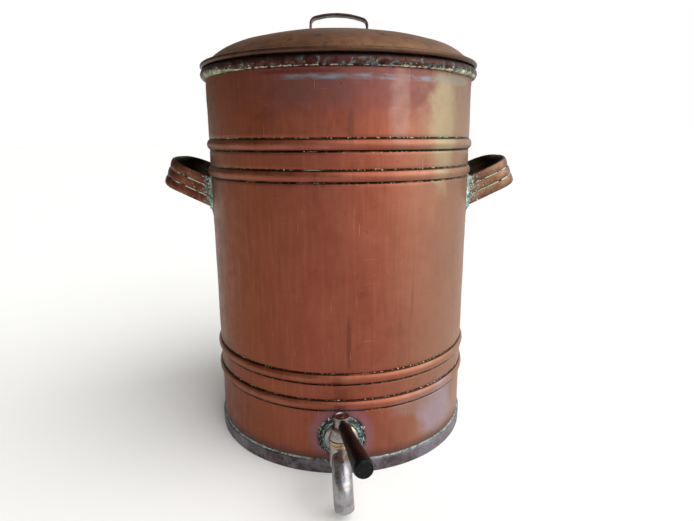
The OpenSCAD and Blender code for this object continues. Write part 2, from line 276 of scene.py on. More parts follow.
class Finish:
    """A Principled material, its colour and relief so far, and short helpers for the nodes that feed it."""

    def __init__(self, name, **fixed):
        self.mat = bpy.data.materials.new(name)
        self.mat.use_nodes = True
        self.tree = self.mat.node_tree
        self.bsdf = self.tree.nodes["Principled BSDF"]
        for socket, value in fixed.items():
            self.bsdf.inputs[socket.replace("_", " ")].default_value = value
        self.point = self.add("ShaderNodeTexCoord").outputs["Object"]
        self.sheet = None
        self.colour = None
        self.normal = None

    def add(self, kind, **settings):
        """A new node with its settings."""
        node = self.tree.nodes.new(kind)
        for key, value in settings.items():
            setattr(node, key, value)
        return node

    def feed(self, socket, value):
        """Links a socket to the value, or sets it where the value is a plain one."""
        if isinstance(value, bpy.types.NodeSocket):
            self.tree.links.new(value, socket)
        else:
            socket.default_value = value

    def math(self, operation, a, b=0.0):
        node = self.add("ShaderNodeMath", operation=operation)
        self.feed(node.inputs[0], a)
        self.feed(node.inputs[1], b)
        return node.outputs[0]

    def times(self, a, b):
        return self.math("MULTIPLY", a, b)

    def plus(self, a, b):
        return self.math("ADD", a, b)

    def minus(self, a, b):
        return self.math("SUBTRACT", a, b)

    def vector(self, operation, a, b=(0.0, 0.0, 0.0)):
        node = self.add("ShaderNodeVectorMath", operation=operation)
        self.feed(node.inputs[0], a)
        self.feed(node.inputs[1], b)
        return node.outputs["Value" if operation == "LENGTH" else "Vector"]

    def axes(self, at=None):
        """The three coordinates of a place, or of the shaded point in metres."""
        node = self.add("ShaderNodeSeparateXYZ")
        self.feed(node.inputs[0], at or self.point)
        return node.outputs

    def wrap(self):
        """Sets the place on the drum's sheet, in metres: along the girth from the front, height, and zero."""
        x, y, z = self.axes()
        angle = self.math("ARCTAN2", x, self.times(y, -1.0))
        join = self.add("ShaderNodeCombineXYZ")
        self.feed(join.inputs[0], self.times(angle, BODY_R * MM))
        self.feed(join.inputs[1], z)
        self.sheet = join.outputs[0]

    def noise(self, size, detail=4.0, stretch=None, warp=0.0):
        """Noise between 0 and 1, on the sheet if there is one; the size of its features is in metres."""
        at = self.sheet or self.point
        if stretch:
            at = self.vector("DIVIDE", at, stretch)
        node = self.add("ShaderNodeTexNoise")
        self.feed(node.inputs["Vector"], at)
        self.feed(node.inputs["Scale"], 1.0 / size)
        self.feed(node.inputs["Detail"], detail)
        self.feed(node.inputs["Roughness"], 0.55)
        self.feed(node.inputs["Distortion"], warp)
        return node.outputs[0]

    def signed(self, value):
        """Noise moved from 0..1 to about -0.5..0.5."""
        return self.minus(value, 0.5)

    def attribute(self, name):
        """A number stored on the points of the mesh."""
        return self.add("ShaderNodeAttribute", attribute_name=name).outputs["Fac"]

    def step(self, value, low, high, out_low=0.0, out_high=1.0):
        """Smooth step from out_low to out_high as value goes from low to high."""
        node = self.add("ShaderNodeMapRange", interpolation_type="SMOOTHSTEP")
        for socket, number in zip(node.inputs, (value, low, high, out_low, out_high)):
            self.feed(socket, number)
        return node.outputs[0]

    def mix(self, share, a, b):
        """Colour a, going over to colour b by the share."""
        node = self.add("ShaderNodeMix", data_type="RGBA")
        self.feed(node.inputs[0], share)
        self.feed(node.inputs[6], a)
        self.feed(node.inputs[7], b)
        return node.outputs[2]

    def ramp(self, value, stops):
        """Colour looked up by the value in a ramp of stops."""
        node = self.add("ShaderNodeValToRGB")
        fill_ramp(node, stops)
        self.feed(node.inputs[0], value)
        return node.outputs[0]

    def band(self, value, centre, half, soft):
        """1 where value is within half of centre, falling to 0 over soft."""
        away = self.math("ABSOLUTE", self.minus(value, centre))
        return self.step(away, half, half + soft, 1.0, 0.0)

    def patch(self, azimuth, height, half_girth, half_height, ragged, amount):
        """Ragged oval patch on the drum's sheet; azimuth in degrees, heights and halves in millimetres."""
        centre = (radians(azimuth) * BODY_R * MM, height * MM, 0.0)
        halves = (half_girth * MM, half_height * MM, 1.0)
        away = self.vector("DIVIDE", self.vector("SUBTRACT", self.sheet, centre), halves)
        reach = self.vector("LENGTH", away)
        rough_reach = self.plus(reach, self.times(ragged, 1.3))
        return self.step(rough_reach, 0.75, 1.75, amount, 0.0)

    def bump(self, height, depth, strength=1.0):
        """Adds surface relief: height between 0 and 1, depth in metres."""
        node = self.add("ShaderNodeBump")
        node.inputs["Strength"].default_value = strength
        node.inputs["Distance"].default_value = depth
        self.feed(node.inputs["Height"], height)
        if self.normal:
            self.feed(node.inputs["Normal"], self.normal)
        self.normal = node.outputs[0]

    def tint(self, share, *colour):
        """Takes the material over to an 8-bit display colour by the share."""
        self.colour = self.mix(share, self.colour, rgb(*colour))

    def tin(self, mottle):
        """Grey stained tin on the inner face."""
        stops = [(0.32, rgb(92, 84, 74)), (0.50, rgb(134, 128, 118)), (0.66, rgb(158, 153, 146))]
        self.colour = self.mix(self.attribute("inside"), self.colour, self.ramp(mottle, stops))

    def done(self, roughness):
        """The finished material."""
        self.feed(self.bsdf.inputs["Base Color"], self.colour)
        self.feed(self.bsdf.inputs["Roughness"], roughness)
        if self.normal:
            self.feed(self.bsdf.inputs["Normal"], self.normal)
        return self.mat


def copper_wall():
    """Old sheet copper of the drum: streaks, pits, heat stain under the rim and local stains."""
    f = Finish("copper_wall", Metallic=1.0, Coat_Weight=0.04, Coat_Roughness=0.35)
    f.wrap()
    girth, height, _ = f.axes(f.sheet)
    clouds = f.noise(0.06, 5, stretch=(1.0, 1.5, 1.0), warp=0.4)
    mottle = f.noise(0.013, 6, warp=0.6)
    streak = f.noise(0.004, 4, stretch=(1.0, 14.0, 1.0))
    tone = f.plus(f.times(clouds, 0.62), f.times(mottle, 0.38))
    f.colour = f.ramp(tone, [(0.30, rgb(118, 62, 46)), (0.45, rgb(134, 72, 55)),
                             (0.60, rgb(143, 81, 63)), (0.74, rgb(152, 94, 77))])
    right, depth, _ = f.axes()
    # Painted sheen: the drum is paler towards the right, where the light falls.
    f.tint(f.step(right, 0.02, 0.13, 0.0, 0.50), 160, 134, 110)
    # Browner towards the left: patina, deepened by painted shade on the side away from the light.
    f.tint(f.step(right, -0.01, -0.12, 0.0, 0.70), 122, 66, 34)
    # Lighter vertical streaks: brush marks, lightened as painted reflection.
    f.tint(f.step(streak, 0.42, 0.75, 0.0, 0.14), 176, 112, 88)
    run = f.noise(0.006, 3, stretch=(1.0, 22.0, 1.0))
    f.tint(f.step(run, 0.60, 0.72, 0.0, 0.20), 92, 52, 42)
    ragged = f.signed(f.noise(0.022, 5, warp=0.5))
    heat_from, heat_full = 0.352, 0.388
    heat = f.step(f.plus(height, f.times(ragged, 0.05)), heat_from, heat_full)
    f.tint(f.times(heat, f.step(right, -0.10, -0.03, 0.20, 0.80)), 112, 72, 70)
    # Each stain: azimuth from the front, height, half its width and half its height, colour and share.
    stains = [
        (54, 362, 44, 36, rgb(150, 124, 104), 0.70),
        (43, 354, 15, 44, rgb(168, 156, 124), 0.60),
        (22, 370, 8, 30, rgb(150, 118, 108), 0.55),
        (46, 50, 24, 22, rgb(160, 146, 156), 0.75),
        (33, 66, 24, 10, rgb(150, 124, 118), 0.45),
        (-14, 402, 30, 1.6, rgb(104, 40, 36), 0.60),
        (50, 399, 26, 4.0, rgb(140, 138, 126), 0.60),
        (4, 351, 2.5, 16, rgb(96, 58, 48), 0.45),
        (3, 149, 2.0, 22, rgb(92, 52, 42), 0.50),
        (-62, 240, 16, 150, rgb(112, 80, 58), 0.55),
        (79, 262, 12, 42, rgb(84, 62, 50), 0.80),
        (-79, 262, 12, 42, rgb(60, 44, 34), 0.85),
        (112, 262, 12, 34, rgb(84, 62, 50), 0.80),
        (-112, 262, 12, 34, rgb(70, 50, 40), 0.85),
    ]
    for azimuth, level, wide, tall, stain, amount in stains:
        f.colour = f.mix(f.patch(azimuth, level, wide, tall, ragged, amount), f.colour, stain)
    blue_noise = f.noise(0.005, 6, stretch=(4.0, 1.0, 1.0))
    blue = f.times(f.band(height, 0.3974, 0.0008, 0.0028), f.band(girth, 0.022, 0.055, 0.035))
    f.tint(f.times(blue, f.step(blue_noise, 0.36, 0.66, 0.05, 0.75)), 116, 142, 152)
    broken = f.noise(0.009, 5, stretch=(2.5, 1.0, 1.0))
    fine = f.noise(0.0022, 3)
    # Deposit beside the creases, with painted light: pale cream on the lit right side, darker green on the
    # left.
    limescale = f.mix(f.step(right, -0.02, 0.06), rgb(120, 140, 96), rgb(214, 200, 158))
    for z in BEADS_Z:
        # Painted highlight: a lighter band along the crest of each bead.
        top = f.band(height, (z + 0.2) * MM, 2.4 * MM, 2.0 * MM)
        f.tint(f.times(top, f.step(clouds, 0.45, 0.65, 0.05, 0.25)), 168, 118, 96)
        for side, dark_share, lime_share in ((1, 0.90, 0.85), (-1, 0.98, 0.35)):
            edge = (z + side * (BEAD_H / 2 + 0.3)) * MM
            # Painted shade: a near-black line along each crease, darkest along the crease under the bead.
            crease = f.band(height, edge, 0.85 * MM, 0.6 * MM)
            f.tint(f.times(crease, f.step(broken, 0.34, 0.46, 0.45, dark_share)), 18, 12, 10)
            beside = f.band(height, edge + side * 0.7 * MM, 0.5 * MM, 0.6 * MM)
            f.colour = f.mix(f.times(beside, f.step(fine, 0.56, 0.66, 0.0, lime_share)), f.colour, limescale)
    tap_centre = (0.0, -BODY_R * MM, INLET_Z * MM)
    from_tap = f.vector("MULTIPLY", f.vector("SUBTRACT", f.point, tap_centre), (1.0, 0.0, 1.0))
    tap = f.plus(f.vector("LENGTH", from_tap), f.times(ragged, 0.010))
    front = f.step(depth, -0.09, -0.11)
    f.tint(f.times(front, f.step(tap, 0.027, 0.040, 0.28, 0.0)), 132, 122, 146)
    f.tint(f.times(front, f.step(tap, 0.0225, 0.0265, 0.95, 0.0)), 24, 34, 32)
    roll_from, roll_full = 0.4050, 0.4062
    roll = f.step(height, roll_from, roll_full)
    rust_noise = f.noise(0.007, 6, warp=0.8)
    rust = f.ramp(rust_noise, [(0.36, rgb(26, 20, 18)), (0.47, rgb(78, 38, 34)),
                               (0.55, rgb(60, 58, 56)), (0.68, rgb(112, 128, 130))])
    f.colour = f.mix(f.times(roll, 0.9), f.colour, rust)
    # Painted shade on the top of the rolled rim, under the lid's edge.
    painted_shade_under_lid = f.step(height, 0.4115, 0.4150)
    f.tint(f.times(painted_shade_under_lid, 0.85), 26, 20, 18)
    foot = f.step(f.plus(height, f.times(ragged, 0.012)), 0.016, 0.028, 0.75, 0.0)
    f.tint(foot, 86, 62, 58)
    pits = f.step(f.noise(0.0030, 2), 0.70, 0.76)
    f.tint(f.times(pits, 0.75), 52, 32, 28)
    scratch = f.step(f.noise(0.0016, 2, stretch=(0.7, 26.0, 1.0), warp=0.1), 0.70, 0.75)
    f.tint(f.times(scratch, 0.45), 190, 150, 130)
    wipe = f.step(f.noise(0.0014, 2, stretch=(30.0, 0.8, 1.0), warp=0.1), 0.70, 0.76)
    f.tint(f.times(wipe, 0.30), 184, 142, 122)
    f.tin(mottle)
    roughness = f.plus(f.step(mottle, 0.3, 0.7, 0.44, 0.56), f.times(heat, 0.06))
    f.bump(clouds, 0.0010, 0.5)
    f.bump(f.minus(mottle, f.times(pits, 0.5)), 0.00025, 0.7)
    f.bump(f.plus(streak, scratch), 0.00006, 0.5)
    return f.done(roughness)


def copper_plain(name, stops, stain, rough=(0.34, 0.52), depth=0.0004, edge_below=None):
    """Worn copper for the lid, its strap and the foot: mottled, stained, pitted and scratched.

    With edge_below, a height in metres, the rolled edge below it is darker, dark patina with painted shade,
    and the inner face is tinned.
    """
    f = Finish(name, Metallic=1.0, Coat_Weight=0.08, Coat_Roughness=0.35)
    clouds = f.noise(0.045, 5, warp=0.5)
    mottle = f.noise(0.010, 6, warp=0.7)
    tone = f.plus(f.times(clouds, 0.6), f.times(mottle, 0.4))
    places = [0.28 + 0.48 * i / (len(stops) - 1) for i in range(len(stops))]
    f.colour = f.ramp(tone, list(zip(places, stops)))
    dirt = f.step(f.noise(0.018, 6, warp=0.8), 0.54, 0.70, 0.0, 0.8)
    f.colour = f.mix(dirt, f.colour, stain)
    pits = f.step(f.noise(0.0028, 2), 0.68, 0.75)
    f.tint(f.times(pits, 0.7), 40, 28, 24)
    scratch = f.step(f.noise(0.0015, 2, stretch=(18.0, 0.8, 1.5), warp=0.2), 0.69, 0.75)
    f.tint(f.times(scratch, 0.4), 220, 180, 160)
    if edge_below:
        # Darker rolled edge of the lid: dark patina, deepened by painted shade.
        edge = f.step(f.axes()[2], edge_below - 0.7 * MM, edge_below + 0.5 * MM, 0.75, 0.0)
        f.tint(edge, 58, 42, 34)
        f.tin(mottle)
    f.bump(clouds, 0.0012, 0.4)
    f.bump(f.minus(mottle, f.times(pits, 0.6)), depth, 0.7)
    return f.done(f.step(mottle, 0.3, 0.7, *rough))


def copper_strap():
    """Side handles: worn ribs, pale crust in the two grooves and near the wall, black-green painted shade
    inside, and a painted sheen on the right handle.
    """
    f = Finish("copper_handle", Metallic=1.0, Coat_Weight=0.06, Coat_Roughness=0.35)
    clouds = f.noise(0.020, 5, warp=0.5)
    mottle = f.noise(0.006, 6, warp=0.7)
    fine = f.noise(0.0016, 4)
    f.colour = f.ramp(clouds, [(0.30, rgb(84, 44, 32)), (0.46, rgb(112, 64, 48)), (0.60, rgb(128, 84, 64)),
                               (0.72, rgb(140, 124, 98))])
    # Painted sheen: the right handle, on the lit side, is paler in places.
    painted_sheen_right = f.step(f.axes()[0], 0.12, 0.19)
    f.tint(f.times(painted_sheen_right, f.step(mottle, 0.38, 0.62, 0.1, 0.65)), 134, 122, 98)
    f.tint(f.step(mottle, 0.56, 0.68, 0.0, 0.7), 66, 56, 42)
    across = f.math("ABSOLUTE", f.attribute("across"))
    groove = f.band(across, STRAP_W / 6, 0.5, 0.7)
    f.tint(f.times(groove, 0.85), 34, 26, 20)
    line = f.times(f.band(across, STRAP_W / 6, 0.35, 0.45), f.step(f.noise(0.005, 4), 0.40, 0.52))
    f.tint(f.times(line, 0.9), 196, 206, 186)
    f.tint(f.step(across, 14.0, 15.2, 0.0, 0.8), 60, 26, 24)
    # Painted shade: the inner face of each loop is painted nearly black-green.
    painted_shade_inside = f.mix(mottle, rgb(14, 14, 10), rgb(40, 46, 34))
    f.colour = f.mix(f.times(f.attribute("inner"), 0.92), f.colour, painted_shade_inside)
    near = f.plus(f.attribute("from_wall"), f.times(f.signed(mottle), 34.0))
    crusty = f.times(f.step(near, 4.0, 11.0, 1.0, 0.0), f.step(fine, 0.46, 0.56, 0.25, 1.0))
    verdigris = f.mix(f.step(fine, 0.5, 0.62), rgb(40, 52, 46), rgb(186, 206, 198))
    f.colour = f.mix(f.times(crusty, 0.9), f.colour, verdigris)
    f.bump(clouds, 0.0010, 0.4)
    f.bump(mottle, 0.0003, 0.6)
    f.bump(crusty, 0.0004, 0.5)
    return f.done(f.step(mottle, 0.3, 0.7, 0.36, 0.54))


def crust(name, pale, green, dark):
    """Powdery deposit: verdigris, limescale and dirt."""
    f = Finish(name, Metallic=0.0, Specular_IOR_Level=0.3)
    patches = f.noise(0.006, 5, warp=0.5)
    grain = f.noise(0.0012, 4)
    f.colour = f.ramp(f.plus(f.times(patches, 0.7), f.times(grain, 0.3)),
                      [(0.34, dark), (0.46, green), (0.60, pale), (0.72, rgb(226, 222, 206))])
    f.bump(grain, 0.0006, 0.8)
    return f.done(f.step(grain, 0.3, 0.7, 0.65, 0.92))


def nickel_plate():
    """Worn nickel plate, browner above the collars of the barrel and through to brass on them."""
    f = Finish("nickel_plate", Metallic=1.0)
    clouds = f.noise(0.012, 5, warp=0.6)
    fine = f.noise(0.0018, 5)
    height = f.axes()[2]
    f.colour = f.ramp(clouds, [(0.30, rgb(118, 116, 120)), (0.45, rgb(146, 144, 147)),
                               (0.58, rgb(164, 161, 158)), (0.72, rgb(138, 126, 114))])
    tint = f.step(f.noise(0.007, 3), 0.52, 0.66, 0.0, 0.35)
    f.tint(tint, 160, 158, 190)
    brown = f.times(f.step(height, 0.060, 0.066), f.step(clouds, 0.35, 0.60, 0.75, 0.35))
    f.tint(brown, 112, 88, 76)
    worn = f.times(f.band(height, 0.0568, 0.0034, 0.0012), f.step(fine, 0.42, 0.58, 0.15, 0.9))
    f.tint(worn, 196, 152, 78)
    specks = f.step(f.noise(0.0016, 3), 0.66, 0.73, 0.0, 0.7)
    f.tint(specks, 50, 40, 38)
    scratch = f.step(f.noise(0.0009, 2, stretch=(1.0, 12.0, 12.0), warp=0.2), 0.68, 0.74)
    f.tint(f.times(scratch, 0.5), 222, 220, 222)
    f.bump(clouds, 0.00012, 0.5)
    f.bump(fine, 0.00004, 0.5)
    return f.done(f.step(fine, 0.3, 0.7, 0.26, 0.42))


def brass_fitting():
    """Dull brass with dark specks."""
    f = Finish("brass_fitting", Metallic=1.0)
    clouds = f.noise(0.006, 5, warp=0.5)
    fine = f.noise(0.0010, 4)
    f.colour = f.ramp(clouds, [(0.3, rgb(104, 82, 46)), (0.5, rgb(168, 136, 74)), (0.7, rgb(196, 166, 102))])
    f.tint(f.step(fine, 0.60, 0.70, 0.0, 0.7), 54, 46, 32)
    f.bump(fine, 0.00015, 0.6)
    return f.done(f.step(fine, 0.3, 0.7, 0.30, 0.5))


def steel_wire():
    """Steel, grey and brown, for wires, tang and screws."""
    f = Finish("steel_wire", Metallic=1.0)
    clouds = f.noise(0.004, 5)
    fine = f.noise(0.0008, 4)
    f.colour = f.ramp(clouds, [(0.35, rgb(62, 46, 38)), (0.52, rgb(96, 86, 80)), (0.7, rgb(134, 128, 122))])
    f.bump(fine, 0.00012, 0.6)
    return f.done(f.step(fine, 0.3, 0.7, 0.35, 0.6))


def ebonite():
    """Black hard rubber with brown fading and fine scratches along and across."""
    f = Finish("ebonite", Metallic=0.0, Specular_IOR_Level=0.15)
    fade = f.noise(0.010, 5, stretch=(1.0, 4.0, 1.0), warp=0.4)
    fine = f.noise(0.0007, 4)
    f.colour = f.ramp(fade, [(0.40, rgb(4, 4, 6)), (0.56, rgb(6, 6, 7)), (0.74, rgb(16, 12, 11))])
    for stretch in ((1.0, 20.0, 1.5), (14.0, 1.0, 1.2)):
        scratch = f.step(f.noise(0.0008, 2, stretch=stretch, warp=0.25), 0.67, 0.73)
        f.tint(f.times(scratch, 0.55), 86, 90, 100)
        f.bump(scratch, 0.00006, 0.6)
    f.bump(fine, 0.00005, 0.5)
    return f.done(f.step(fine, 0.3, 0.7, 0.26, 0.44))


def leather_washer():
    """Old leather, nearly black, with verdigris soaked in."""
    f = Finish("leather_washer", Metallic=0.0, Specular_IOR_Level=0.35)
    clouds = f.noise(0.005, 5)
    grain = f.noise(0.0008, 4, warp=0.4)
    f.colour = f.ramp(clouds, [(0.32, rgb(14, 22, 20)), (0.50, rgb(30, 44, 40)), (0.62, rgb(66, 92, 84)),
                               (0.74, rgb(128, 152, 140))])
    f.bump(grain, 0.0003, 0.7)
    return f.done(f.step(grain, 0.3, 0.7, 0.55, 0.85))


def floor_paper():
    """Matt white paper of nearly even tone."""
    f = Finish("floor_paper", Metallic=0.0, Specular_IOR_Level=0.1)
    soft = f.noise(0.4, 3)
    f.colour = f.ramp(soft, [(0.3, (0.93, 0.93, 0.93, 1)), (0.7, (0.95, 0.95, 0.95, 1))])
    return f.done(0.9)


WALL = copper_wall()
LID = copper_plain("copper_lid", [rgb(104, 72, 48), rgb(126, 88, 62), rgb(136, 96, 72), rgb(150, 116, 98)],
                   rgb(86, 62, 48), rough=(0.42, 0.56), edge_below=(BRIM_TOP + 1.6) * MM)
FOOT = copper_plain("copper_foot", [rgb(54, 42, 42), rgb(84, 72, 74), rgb(124, 118, 126), rgb(160, 162, 172)],
                    rgb(50, 40, 40), rough=(0.36, 0.54))
DARK = copper_plain("copper_dark", [rgb(46, 34, 32), rgb(70, 52, 48), rgb(98, 74, 72), rgb(132, 112, 116)],
                    rgb(40, 32, 30), rough=(0.30, 0.50))
HANDLE = copper_strap()
SOLDER = crust("verdigris_solder", rgb(192, 204, 198), rgb(108, 138, 126), rgb(44, 52, 46))
SCALE = crust("limescale", rgb(186, 184, 160), rgb(124, 128, 102), rgb(56, 48, 38))
FOOT_CRUST = crust("foot_crust", rgb(150, 164, 166), rgb(92, 112, 104), rgb(38, 40, 40))
PALE_CRUST = crust("pale_crust", rgb(176, 194, 200), rgb(104, 134, 128), rgb(32, 40, 38))
NICKEL = nickel_plate()
BRASS = brass_fitting()
STEEL = steel_wire()
BLACK = ebonite()
LEATHER = leather_washer()
FINISHES = {
    "copper_wall": WALL, "copper_lid": LID, "copper_dark": DARK, "copper_handle": HANDLE,
    "verdigris_solder": SOLDER, "nickel_plate": NICKEL, "brass_fitting": BRASS, "steel_wire": STEEL,
    "ebonite": BLACK, "leather_washer": LEATHER,
}
slot_of = {part["node"]: part["material_slot"] for part in frame["record"]["subparts"]}
for node_name, node_object in frame["nodes"].items():
    node_object.data.materials.clear()
    node_object.data.materials.append(FINISHES[slot_of[node_name]])


def keep_in_box(piece):
    """Brings vertices back to the rear and top faces of the CAD model's box, which rumpled sheet may pass."""
    _, rear, top = cad_bounds[1]
    for vertex in piece.data.vertices:
        x, y, z = vertex.co
        if y > rear or z > top:
            vertex.co = (x, min(y, rear), min(z, top))


def stand_for(piece, body, *nodes):
    """The piece rides on the body and is shown instead of the CAD nodes."""
    keep_in_box(piece)
    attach(piece, body)
    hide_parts(*nodes)


def extra(piece, body):
    """The piece rides on the body beside the CAD nodes."""
    keep_in_box(piece)
    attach(piece, body)


# ---------------- drum

def wall_profile():
    """Outer face with four beads and their creases, round the rolled rim, and down the inner face."""
    crease = 0.5
    outer = [(BODY_R, WALL_LOW)]
    inner = []
    bead_r = ((BEAD_H / 2) ** 2 + BEAD_OUT ** 2) / (2 * BEAD_OUT)
    bead_x = BODY_R + BEAD_OUT - bead_r
    half = degrees(asin(BEAD_H / 2 / bead_r))
    for z in BEADS_Z:
        low, high = z - BEAD_H / 2, z + BEAD_H / 2
        outer += [(BODY_R, low - 2.2), (BODY_R - crease, low - 0.5)]
        outer += arc(bead_x, z, bead_r, -half, half, 16)
        outer += [(BODY_R - crease, high + 0.5), (BODY_R, high + 2.2)]
        hollow = arc(bead_x, z, bead_r - SHEET, -half, half, 10)
        inner += [(BODY_R - SHEET, low)] + hollow + [(BODY_R - SHEET, high)]
    roll = arc(RIM_X, RIM_Z, RIM_R, -88, 259, 44)
    return refined(outer + roll + inner[::-1] + [(BODY_R - SHEET, WALL_LOW)], 2.6)


def drum():
    """Beaded wall with its rolled rim, dented a little between the foot and the rim."""
    wall = lathe("drum_wall", WALL, wall_profile(), segments=360, sharp=60)
    mark_inside(wall, lambda co, n: 1.0 if co.z > (RIM_Z - 4) * MM else co.x * n[0] + co.y * n[1])

    def free(co):
        return 1.0 if 0.03 < co.z < 0.40 else 0.25

    rumple(wall, 0.55, 48, 3, free)
    rumple(wall, 0.16, 11, 5, free)
    stand_for(wall, "urn", "body_shell")


def foot():
    """Foot band, turned in under the wall, and the line of solder and verdigris along its upper edge."""
    band = rounded([
        (138, 0.0), (152, 0.0), (152, FOOT_H - 0.6), (150.4, FOOT_H), (BODY_R, FOOT_H), (BODY_R, WALL_LOW),
        (138, WALL_LOW),
    ], 0.5, 3)
    ring = lathe("foot_ring", FOOT, refined(band, 2.5), segments=300)
    rumple(ring, 0.25, 14, 8, lambda co: 1.0 if 0.002 < co.z < 0.013 else 0.0)
    stand_for(ring, "urn", "foot_band")
    fillet = [
        (149.6, FOOT_H - 0.4), (151.4, FOOT_H - 0.2), (151.1, FOOT_H + 0.7), (150.3, FOOT_H + 1.5),
        (149.6, FOOT_H + 1.6),
    ]
    bead = lathe("foot_solder", FOOT_CRUST, rounded(fillet, 0.4, 3), segments=420)
    rumple(bead, 0.8, 3.5, 9)
    extra(bead, "urn")


def crusted(azimuth):
    """How thick the crust on the rim is: most at both sides of the front and towards the back."""
    front_side, back_side = 58, 150
    away = abs(azimuth)
    return max(exp(-((away - front_side) / 20) ** 2), exp(-((away - back_side) / 30) ** 2))


def rim_scale():
    """Crust of lime and verdigris on the lower half of the rolled rim: a broken band and loose crumbs."""
    outside = arc(RIM_X, RIM_Z, RIM_R + 0.1, -82, -12, 14)
    inside = arc(RIM_X, RIM_Z, RIM_R - 1.2, -14, -80, 8)
    band = lathe("rim_crust", SCALE, outside + inside, segments=720, sharp=80)
    for vertex in band.data.vertices:
        x, y, z = vertex.co / MM
        reach = hypot(x, y)
        spoke = Vector((reach - RIM_X, z - RIM_Z))
        if spoke.length < RIM_R:
            continue
        thick = crusted(degrees(atan2(x, -y)))
        level = degrees(atan2(spoke.y, spoke.x))
        low_bias = exp(-((level + 52 + 8 * (1 - thick)) / (12 + 16 * thick)) ** 2)
        lump = noise.fractal(vertex.co / (3.0 * MM), 0.8, 2.0, 4)
        grow = 1.25 * low_bias * (0.45 + 0.55 * thick) + 0.45 * lump - 0.62
        out = spoke.normalized() * min(grow, 0.75)
        scale = (reach + out.x) / reach
        vertex.co = Vector((x * scale, y * scale, z + out.y)) * MM
    extra(band, "urn")
    rnd = random.Random(11)
    spots = []
    for _ in range(1300):
        azimuth = rnd.uniform(-180, 180)
        thick = 0.2 + 0.8 * crusted(azimuth)
        if rnd.random() > thick:
            continue
        angle = radians(rnd.gauss(-48, 12 + 10 * thick))
        out = RIM_X + RIM_R * cos(angle)
        height = RIM_Z + RIM_R * sin(angle)
        direction = on_drum(azimuth, 0, 1) * cos(angle) + Vector((0, 0, sin(angle)))
        size = rnd.uniform(0.3, 0.6) * (0.7 + 0.7 * thick)
        spots.append((on_drum(azimuth, height, out), direction, size))
    extra(crumbs("rim_crumbs", SCALE, spots, 12), "urn")


def bead_scale():
    """Fine crumbs along the creases of the beads."""
    rnd = random.Random(21)
    spots = []
    for z in BEADS_Z:
        for _ in range(170):
            azimuth = rnd.uniform(-180, 180)
            side = 1 if rnd.random() < 0.75 else -1
            height = z + side * (BEAD_H / 2 + rnd.uniform(-0.2, 0.9))
            size = rnd.uniform(0.25, 0.6)
            spots.append((on_drum(azimuth, height, BODY_R - 0.35), on_drum(azimuth, 0, 1), size))
    extra(crumbs("bead_scale", SCALE, spots, 22), "urn")


# ---------------- side handles

LOOP_BEND_X = LOOP_REACH - LOOP_BEND
LOOP_PLACE = (
    Matrix.Rotation(radians(HANDLE_BACK), 4, "Z")
    @ Matrix.Translation((BODY_R, 0, HANDLE_Z))
    @ Matrix.Rotation(radians(-HANDLE_TILT), 4, "Y")
    @ Matrix.Translation((-BODY_R, 0, 0))
)
LOOP_ALONG = (LOOP_PLACE.to_3x3() @ Vector((1, 0, 0))).normalized()


def hand(side):
    """Name of a side: 1 is the right one in the photograph, -1 the left one."""
    return "right" if side > 0 else "left"


def mirrored(point, side):
    """The coordinates of a point or direction of the right handle, for the handle of the given side."""
    return (point.x * side, point.y, point.z)


def strap_outline():
    """Section of the strap as (outwards, across): flat inside, three ribs and two grooves outside."""
    rib_w = STRAP_W / 3
    web, rib, lip = 1.75, 1.4, 0.45
    steps = 36
    outside = []
    for i in range(steps + 1):
        across = STRAP_W / 2 - STRAP_W * i / steps
        local = (across + STRAP_W / 2) % rib_w - rib_w / 2
        out = web + rib * sqrt(max(0.0, 1 - (2 * local / rib_w) ** 2))
        outside.append((out, across * 0.995))
    inside = [(lip, -STRAP_W / 2), (0.0, -STRAP_W / 2 + 0.6)] + [(0.0, w) for w in (-8, 0, 8)]
    return outside + inside + [(0.0, STRAP_W / 2 - 0.6), (lip, STRAP_W / 2)]


def to_wall(point, along, radius):
    """Moves a point along a direction until it is the given distance from the drum's axis."""
    a = along.x ** 2 + along.y ** 2
    b = 2 * (point.x * along.x + point.y * along.y)
    c = point.x ** 2 + point.y ** 2 - radius ** 2
    return point + along * ((-b + sqrt(b * b - 4 * a * c)) / (2 * a))


def loop_stations():
    """Stations along the loop: place, outward direction, and on the arms the share of the way to the bend."""
    arm_steps, bend_steps = 14, 24
    squareness = 2.8
    start, outward = Vector((LOOP_BEND_X, LOOP_HALF, 0)), Vector((0, 1, 0))
    arm = [(start, outward, step / arm_steps) for step in range(arm_steps + 1)]
    bend = []
    for step in range(1, bend_steps + 1):
        a = pi / 2 * (1 - step / bend_steps)
        x = LOOP_BEND * max(0.0, cos(a)) ** (2 / squareness)
        y = LOOP_HALF * sin(a) ** (2 / squareness)
        slope_x = (x / LOOP_BEND) ** (squareness - 1) / LOOP_BEND
        slope_y = (y / LOOP_HALF) ** (squareness - 1) / LOOP_HALF
        bend.append((Vector((LOOP_BEND_X + x, y, 0)), Vector((slope_x, slope_y, 0)).normalized(), None))
    half = arm + bend
    return half + [(Vector((p.x, -p.y, 0)), Vector((n.x, -n.y, 0)), share) for p, n, share in half[-2::-1]]


